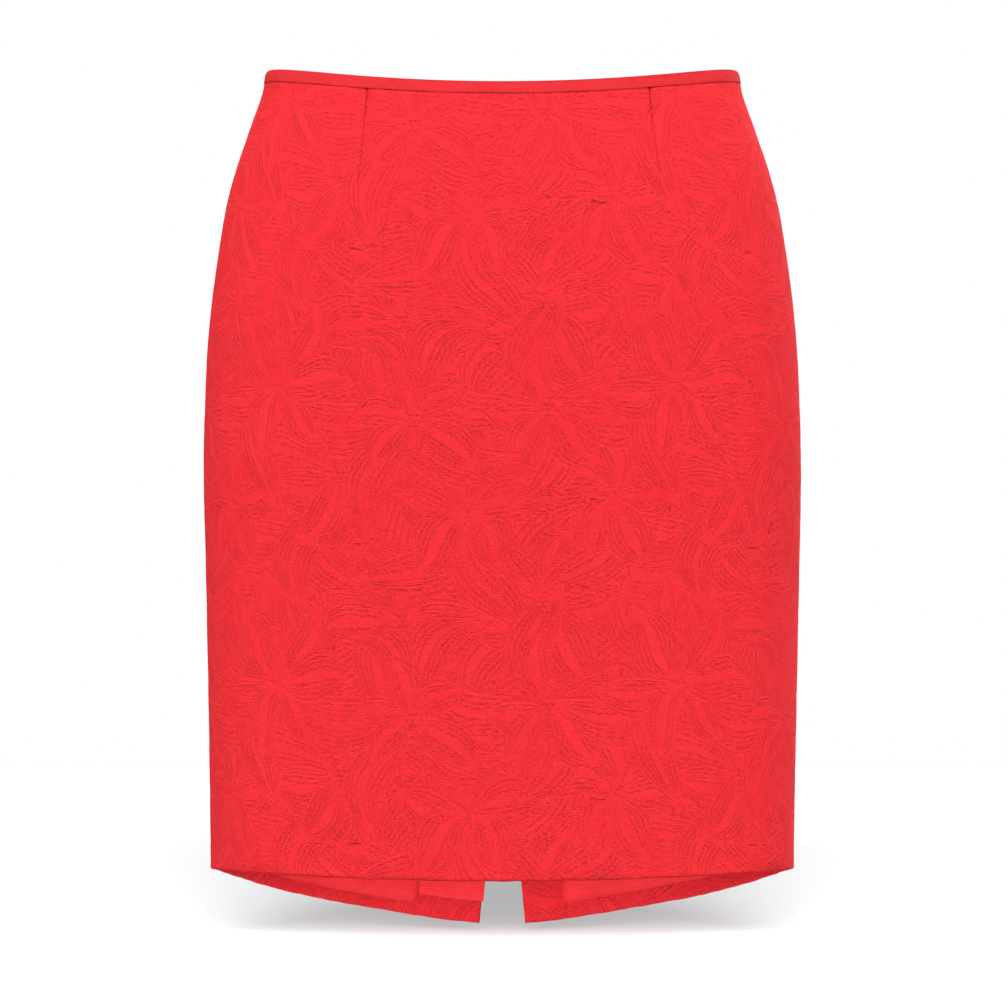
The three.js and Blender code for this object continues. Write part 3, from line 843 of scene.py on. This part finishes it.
def lining(name, guides, columns, above_hem):
    """One piece of the lining, hanging in soft folds from the waist."""
    rows = np.linspace(0, 1, 141)
    angle, z = grid(columns_through(guides, (columns,)), under_binding, lambda a: hem(a) + above_hem, rows)
    points = face(angle, z)
    loose = smooth((-110 - z) / 280)
    folds = 0.55 + 0.45 * np.sin(angle * 13 + 0.9 * np.sin(z / 83) + 0.7)
    folds += 0.3 * np.sin(angle * 31 + z / 47) * np.sin(z / 66 + angle * 5)
    depth = straight(LINING_DEPTH, "depth", z) + 1.5 * loose * np.clip(folds, 0, 2)
    above = z - hem(angle) - above_hem
    depth = depth + 0.25 * np.exp(-(((above - LINING_HEM["stitches"]) / LINING_HEM["edge"]) ** 2))
    turned = smooth((LINING_HEM["height"] - above) / LINING_HEM["edge"])
    thick = LINING + LINING_HEM["thicker"] * turned
    cut = np.stack([arc_lengths(points, 0), z, 0 * z], -1)
    return shell(name, inside(angle, z, depth), inside(angle, z, depth + thick), {"cut": cut})


def lining_piece(name, side):
    """The lining's front, or its left or right back."""
    seam = side_seam(-1 if side == "front" else 1)
    if side == "front":
        return lining(name, [mirrored_in_front(seam), seam], 150, LINING_ABOVE_HEM[side])
    centre = guide(lambda z: straight(LINING_EDGE, side, z), True)
    guides = [seam, centre] if side == "left" else [mirrored(centre), mirrored(seam)]
    return lining(name, guides, 84, LINING_ABOVE_HEM[side])


def vent_strip(name, side, sizes, fields_of):
    """A strip inside one edge of the vent, which steps inwards over the turned-up hem."""

    def near_x(z):
        edge = straight(BACK_EDGE, "x", z)
        return edge - np.clip(edge - GAP / 2, 0, sizes["past"])

    near = guide(near_x, True)
    far = guide(lambda z: near_x(z) + sizes["width"], True)
    guides = [far, near] if side > 0 else [mirrored(near), mirrored(far)]
    angle, z = grid(
        columns_through(guides, (24,)),
        lambda a: 0 * a + VENT_STRIP_TOP,
        lambda a: hem(a) + sizes["above_hem"],
        np.linspace(0, 1, 121),
    )
    u = arc_lengths(face(angle, z), 0)
    above = z - hem(angle)
    over = smooth((TURN_UP_HEIGHT + 2 - above) / 1.5)
    ripple = 0.22 * (1 + np.sin(z / 9 + u / 14)) * smooth((-350 - z) / 20)
    depth = SHELL + GAP + 0.1 + TURN_UP * over + ripple
    ends = np.minimum(fold_in(above - sizes["above_hem"], 0.5), 0.45)
    fields = fields_of(u, z) | {"cut": np.stack([u, z, 0 * z], -1)}
    outer, inner = inside(angle, z, depth + ends), inside(angle, z, depth + sizes["thick"] - ends)
    return shell(name, outer, inner, fields, 1)


def embossed_side(u, v):
    """The fields of the embossed cloth where it is the inner side of the vent's facing."""
    fields, _ = relief(u + 30, v)
    return fields | {"sewn": 0 * u + UNSEWN}


def tube(path, radius, sides, normal):
    """Rings of points round a path, whose sides lie about a normal, and their faces."""
    path = np.asarray(path, float)
    along = np.gradient(path, axis=0)
    along /= np.linalg.norm(along, axis=1, keepdims=True)
    across = np.cross(along, normal)
    across /= np.linalg.norm(across, axis=1, keepdims=True)
    out = np.cross(across, along)
    turn = np.linspace(0, 2 * math.pi, sides, endpoint=False)
    ring = across[:, None] * np.cos(turn)[None, :, None] + out[:, None] * np.sin(turn)[None, :, None]
    points = path[:, None] + radius * ring
    index = indices(len(path), sides)
    a, b = index[:-1], index[1:]
    around = np.stack([a, np.roll(a, -1, 1), np.roll(b, -1, 1), b], -1).reshape(-1, 4).tolist()
    return points.reshape(-1, 3), around + [index[0][::-1].tolist(), index[-1].tolist()]


def gathered(parts):
    """The points and faces of several parts as one."""
    points, faces, count = [], [], 0
    for some_points, some_faces in parts:
        points.append(some_points)
        faces += [[i + count for i in corners] for corners in some_faces]
        count += len(some_points)
    return np.concatenate(points), faces


def zip_point(x, z, depth):
    """A point of the zip: its X, its height, and its depth inside the skirt's face at the centre back."""
    x_per_turn = curved("half", z) * (1 + FULLER_ACROSS)
    angle = CENTRE_BACK - np.asarray(x) / x_per_turn
    return inside(angle, np.asarray(z, float) + 0 * angle, np.asarray(depth) + 0 * angle)


# The zip's tapes and coil, in section
TAPE = {"depth": 2.1, "ripple": 0.08, "cord": 0.35, "cord_at": 0.8, "cord_width": 0.7}
COIL = {"pitch": 1.15, "wire": 0.36, "reach": 3.1, "depth": 2.75, "arch": 0.42, "drop": 0.5}
STOP = {"above_end": 1.2, "half": 2.1, "depth": 3.0, "radius": 0.75}
COIL_SIDE = np.array([0.0, 0.3, 1.0])


def zip_tape(side):
    """One side's tape, with a corded edge along the coil. It makes room for the slider at its top."""

    def inner_x(z):
        return ZIP["half_coil"] * 0.8 + (ZIP["half_notch"] - 1.7) * smooth((z + 26) / 6)

    rows, columns = 121, 13
    z = np.linspace(float(under_binding(np.array(CENTRE_BACK))), ZIP["end"], rows)[:, None]
    share = np.linspace(0, 1, columns)[None, :]
    x = ZIP["half_tape"] * (1 - share) + inner_x(z) * share
    if side < 0:
        x = -x[:, ::-1]
    z = z + 0 * x
    depth = TAPE["depth"] + TAPE["ripple"] * np.sin(z / 7) * np.abs(x) / ZIP["half_tape"]
    from_cord = np.abs(x) - inner_x(z) - TAPE["cord_at"]
    cord = TAPE["cord"] * np.exp(-((from_cord / TAPE["cord_width"]) ** 2))
    fields = {"cut": np.stack([x, z, 0 * x], -1)}
    outer, inner = zip_point(x, z, depth), zip_point(x, z, depth + ZIP["tape"] + cord)
    return shell("zip_tape_left" if side > 0 else "zip_tape_right", outer, inner, fields)


def zip_coil():
    """The closed coil: a row of small bars that cross from tape to tape by turns, and a stop at its end."""
    parts = []
    t = np.linspace(0, 1, 9)
    arch = np.sin(math.pi * t)
    for k, z in enumerate(np.arange(ZIP["slider_foot"] - 1, ZIP["end"] + 3, -COIL["pitch"])):
        side = 1 if k % 2 else -1
        x = side * (ZIP["half_coil"] - COIL["reach"] * np.sin(math.pi * t / 2) ** 1.1)
        path = zip_point(x, z - COIL["drop"] * arch, COIL["depth"] + COIL["arch"] * arch)
        parts.append(tube(path, COIL["wire"], 8, COIL_SIDE))
    stop_x = np.array([-STOP["half"], 0.0, STOP["half"]])
    stop = zip_point(stop_x, np.full(3, ZIP["end"] + STOP["above_end"]), np.full(3, STOP["depth"]))
    parts.append(tube(stop, STOP["radius"], 10, COIL_SIDE))
    return new_object("zip_coil", *gathered(parts))


def outline_solid(shapes, thick, bevel):
    """A plate with rounded edges from outlines, the first round the others, centred on its thickness."""
    curve = bpy.data.curves.new("outline", "CURVE")
    curve.dimensions = "2D"
    curve.fill_mode = "BOTH"
    curve.extrude = (thick / 2 - bevel) * MM
    curve.bevel_depth = bevel * MM
    curve.bevel_resolution = 2
    curve.offset = -bevel * MM
    for shape in shapes:
        spline = curve.splines.new("POLY")
        spline.points.add(len(shape) - 1)
        for point, (x, y) in zip(spline.points, shape):
            point.co = (x * MM, y * MM, 0, 1)
        spline.use_cyclic_u = True
    holder = bpy.data.objects.new("outline", curve)
    mesh = bpy.data.meshes.new_from_object(holder)
    bpy.data.objects.remove(holder)
    bpy.data.curves.remove(curve)
    return mesh


def arc(centre, radius, start, end, count):
    turns = np.linspace(start, end, count)
    return [(centre[0] + radius * math.cos(t), centre[1] + radius * math.sin(t)) for t in turns]


def circle(centre, radius):
    """A round hole's outline, of twenty points."""
    return arc(centre, radius, 0, 2 * math.pi * 19 / 20, 20)


def at_zip(point, up):
    """Places a small part at the zip: its Y runs up the seam, its Z points away from the body."""
    across = Vector((-1, 0, 0))
    turned = Matrix((across, up, across.cross(up))).transposed().to_4x4()
    return Matrix.Translation(Vector(point) * MM) @ turned


HINGE = inside(np.array(CENTRE_BACK), np.array(LUG["z"], float), -LUG["out"])
SEAM_UP = Vector((1, 0, 0)).cross(Vector(outward(np.array(CENTRE_BACK), np.array(LUG["z"], float))))


def small_part(name, plates):
    """A small part from plates, each with the matrix that places it."""
    whole = bmesh.new()
    for mesh, matrix in plates:
        mesh.transform(matrix)
        whole.from_mesh(mesh)
    bmesh.ops.remove_doubles(whole, verts=whole.verts, dist=0.00001)
    bmesh.ops.recalc_face_normals(whole, faces=whole.faces)
    mesh = bpy.data.meshes.new(name)
    whole.to_mesh(mesh)
    whole.free()
    return linked(name, mesh)


def zip_slider():
    """The slider's body, behind the seam, and the lug that comes out through it."""
    low, high = SLIDER["bottom"], SLIDER["top"]
    wide, narrow = SLIDER["half_top"], SLIDER["half_bottom"]
    right = [(narrow, low), (narrow + 0.1, low + 2), (wide, high - 3)]
    right += [(wide, high - 1), (wide - 0.9, high), (0.6, high - 0.7)]
    body = outline_solid([right + [(-x, y) for x, y in right[::-1]]], SLIDER["thick"], 0.55)
    plate_depth = LUG["out"] + 2.1 + SLIDER["thick"] / 2
    neck, radius = LUG["half_neck"], LUG["radius"]
    rise = math.asin(neck / radius)
    side = [(-neck, -plate_depth), (neck, -plate_depth)]
    side += arc((0, 0), radius, rise - math.pi / 2, 1.5 * math.pi - rise, 28)
    lug = outline_solid([side, circle((0, 0), LUG["hole"] + 0.15)], LUG["wide"], 0.22)
    seat = at_zip(HINGE, SEAM_UP)
    standing = Matrix(((0, 0, 1, 0), (1, 0, 0, 0), (0, 1, 0, 0), (0, 0, 0, 1)))
    back = Matrix.Translation((0, 0, -plate_depth * MM))
    return small_part("zip_slider_enamel", [(body, seat @ back), (lug, seat @ standing)])


def zip_pull():
    """The pull tab, with a slot that straddles the lug and an eye at its lower end."""
    half, radius, slot = PULL["half_top"], PULL["end_radius"], PULL["half_slot"] + 0.12
    shoulder = -PULL["slot_end"] - 2
    centre = (0, radius - PULL["length"])
    outline = [(-half, PULL["thick"] / 2), (-half, shoulder)]
    outline += arc(centre, radius, math.pi, 2 * math.pi, 26)
    outline += [(half, shoulder), (half, PULL["thick"] / 2)]
    top, bottom = -PULL["thick"] / 2 - 0.05, -PULL["slot_end"]
    slot_shape = [(-slot, top), (slot, top), (slot, bottom), (-slot, bottom)]
    tab = outline_solid([outline, slot_shape, circle(centre, 1.0)], PULL["thick"], 0.2)
    end_height = np.array(LUG["z"] - 0.93 * PULL["length"])
    end = inside(np.array(CENTRE_BACK), end_height, -(PULL["thick"] / 2 + PULL_CLEAR))
    up = Vector(HINGE - end).normalized()
    return small_part("zip_pull_enamel", [(tab, at_zip(HINGE, up))])


front = finish_piece(front_panel(), "cloth", "front_panel")
back_left = finish_piece(back_panel("back_left_cloth", 1), "cloth", "back_panel_left")
back_right = finish_piece(back_panel("back_right_cloth", -1), "cloth", "back_panel_right")
binding = finish_piece(waist_binding(), "binding", "waist_binding")
facing = vent_strip("vent_facing_cloth", 1, VENT_FACING, embossed_side)
facing = finish_piece(facing, "cloth", "vent_facing")
underlap = vent_strip("vent_underlap_lining", -1, VENT_UNDERLAP, lambda u, v: {})
underlap = finish_piece(underlap, "lining", "vent_underlap")
lining_front = finish_piece(lining_piece("lining_front_cloth", "front"), "lining", "lining_front")
lining_left = finish_piece(lining_piece("lining_left_cloth", "left"), "lining", "lining_back_left")
lining_right = finish_piece(lining_piece("lining_right_cloth", "right"), "lining", "lining_back_right")
tapes = [finish_piece(zip_tape(side), "tape", "zip_tape") for side in (1, -1)]
finish_piece(zip_coil(), "painted", "zip_tape")
finish_piece(zip_slider(), "painted", "zip_slider")
finish_piece(zip_pull(), "painted", "zip_pull", body="pull")


# Camera, light and floor
CAMERA = {"distance": 3.1, "height": -0.392, "looks_at": -0.2555, "width": 0.593, "aside": 0.001}
SENSOR = 36
FLOOR = {"height": -0.512, "half": 25, "colour": 0.25, "glow": 0.33}
DOME_RADIUS = 20
WORLD_STRENGTH = 0.5

# The lamps: the place each shines from, the angle it fills, and its power
LAMPS = {
    "key": ((-0.05, -0.7, 1.0), 45, 3.0),
    "front_fill": ((-0.1, -3.0, 0.1), 12, 0.9),
    "left_fill": ((-3.0, -0.6, 0.5), 40, 1.3),
    "right_fill": ((3.0, -0.6, 0.5), 40, 1.45),
    "back_fill": ((0.5, 2.0, 1.0), 50, 3.1),
}
LOW_FILL = ((0, -3.0, -0.4), 24, 1.9)
FLOOR_LIGHT = ((0, -1.0, 0.09), 16, 90)


def aimed(name, data, place, target=(0, 0, 0)):
    """A lamp or camera at a place, facing a target."""
    made = linked(name, data)
    made.location = place
    made.rotation_euler = (Vector(target) - made.location).to_track_quat("-Z", "Y").to_euler()
    return made


def camera():
    data = bpy.data.cameras.new("camera")
    data.sensor_width = SENSOR
    data.lens = SENSOR * CAMERA["distance"] / CAMERA["width"]
    data.clip_end = 60
    place = (CAMERA["aside"], -CAMERA["distance"], CAMERA["height"])
    bpy.context.scene.camera = aimed("camera", data, place, (CAMERA["aside"], 0, CAMERA["looks_at"]))


def sun(name, place, angle, power):
    """A soft light that shines towards the origin from the direction of a place."""
    data = bpy.data.lights.new(name, "SUN")
    data.angle = math.radians(angle)
    data.energy = power
    return aimed(name, data, place)


def aim(lamp, state, *pieces):
    """Has a lamp light only these pieces, or all but these."""
    lit = bpy.data.collections.new(lamp.name + "_lights")
    for index, piece in enumerate(pieces):
        lit.objects.link(piece)
        lit.collection_objects[index].light_linking.link_state = state
    lamp.light_linking.receiver_collection = lit


def hide_from(piece, *rays):
    """Keeps a piece out of some kinds of ray, so that it throws no light or shadow on the skirt."""
    for kind in rays:
        setattr(piece, "visible_" + kind, False)


def backdrop():
    """A white dome that only the camera sees."""
    mesh = bpy.data.meshes.new("backdrop")
    dome = bmesh.new()
    bmesh.ops.create_icosphere(dome, subdivisions=4, radius=DOME_RADIUS)
    dome.to_mesh(mesh)
    dome.free()
    made = linked("backdrop", mesh)
    white = bpy.data.materials.new("backdrop_white")
    white.use_nodes = True
    tree = white.node_tree
    tree.nodes.clear()
    glow = node(tree, "Emission", Color=(1, 1, 1, 1), Strength=1.0)
    node(tree, "OutputMaterial", Surface=glow.outputs[0])
    made.data.materials.append(white)
    hide_from(made, "diffuse", "glossy", "transmission", "shadow")


def pale_floor():
    """A pale floor that glows a little."""
    corners = np.array([(-1, -1), (1, -1), (1, 1), (-1, 1)]) * FLOOR["half"]
    points = np.column_stack([corners, np.full(4, FLOOR["height"])]) / MM
    made = new_object("floor", points, [[0, 1, 2, 3]])
    look, _, shader = material("pale_floor", roughness=0.9, specular=0.0)
    shader.inputs["Base Color"].default_value = (FLOOR["colour"],) * 3 + (1,)
    shader.inputs["Emission Color"].default_value = (1, 1, 1, 1)
    shader.inputs["Emission Strength"].default_value = FLOOR["glow"]
    made.data.materials.append(look)
    hide_from(made, "diffuse", "shadow")
    return made


def studio(inner_pieces):
    """The world, the lamps, the floor and the backdrop. The low fill stands for the light that the floor
    throws up inside the hem, so it lights these inner pieces alone."""
    world = bpy.data.worlds.new("soft_studio")
    world.use_nodes = True
    world.node_tree.nodes["Background"].inputs["Color"].default_value = (1, 1, 1, 1)
    world.node_tree.nodes["Background"].inputs["Strength"].default_value = WORLD_STRENGTH
    bpy.context.scene.world = world
    floor = pale_floor()
    for name, settings in LAMPS.items():
        aim(sun(name, *settings), "EXCLUDE", floor)
    aim(sun("low_fill", *LOW_FILL), "INCLUDE", *inner_pieces)
    aim(sun("floor_light", *FLOOR_LIGHT), "INCLUDE", floor)
    backdrop()
    bpy.context.scene.view_settings.view_transform = "Standard"


camera()
studio([back_left, back_right, facing, underlap, lining_left, lining_right])
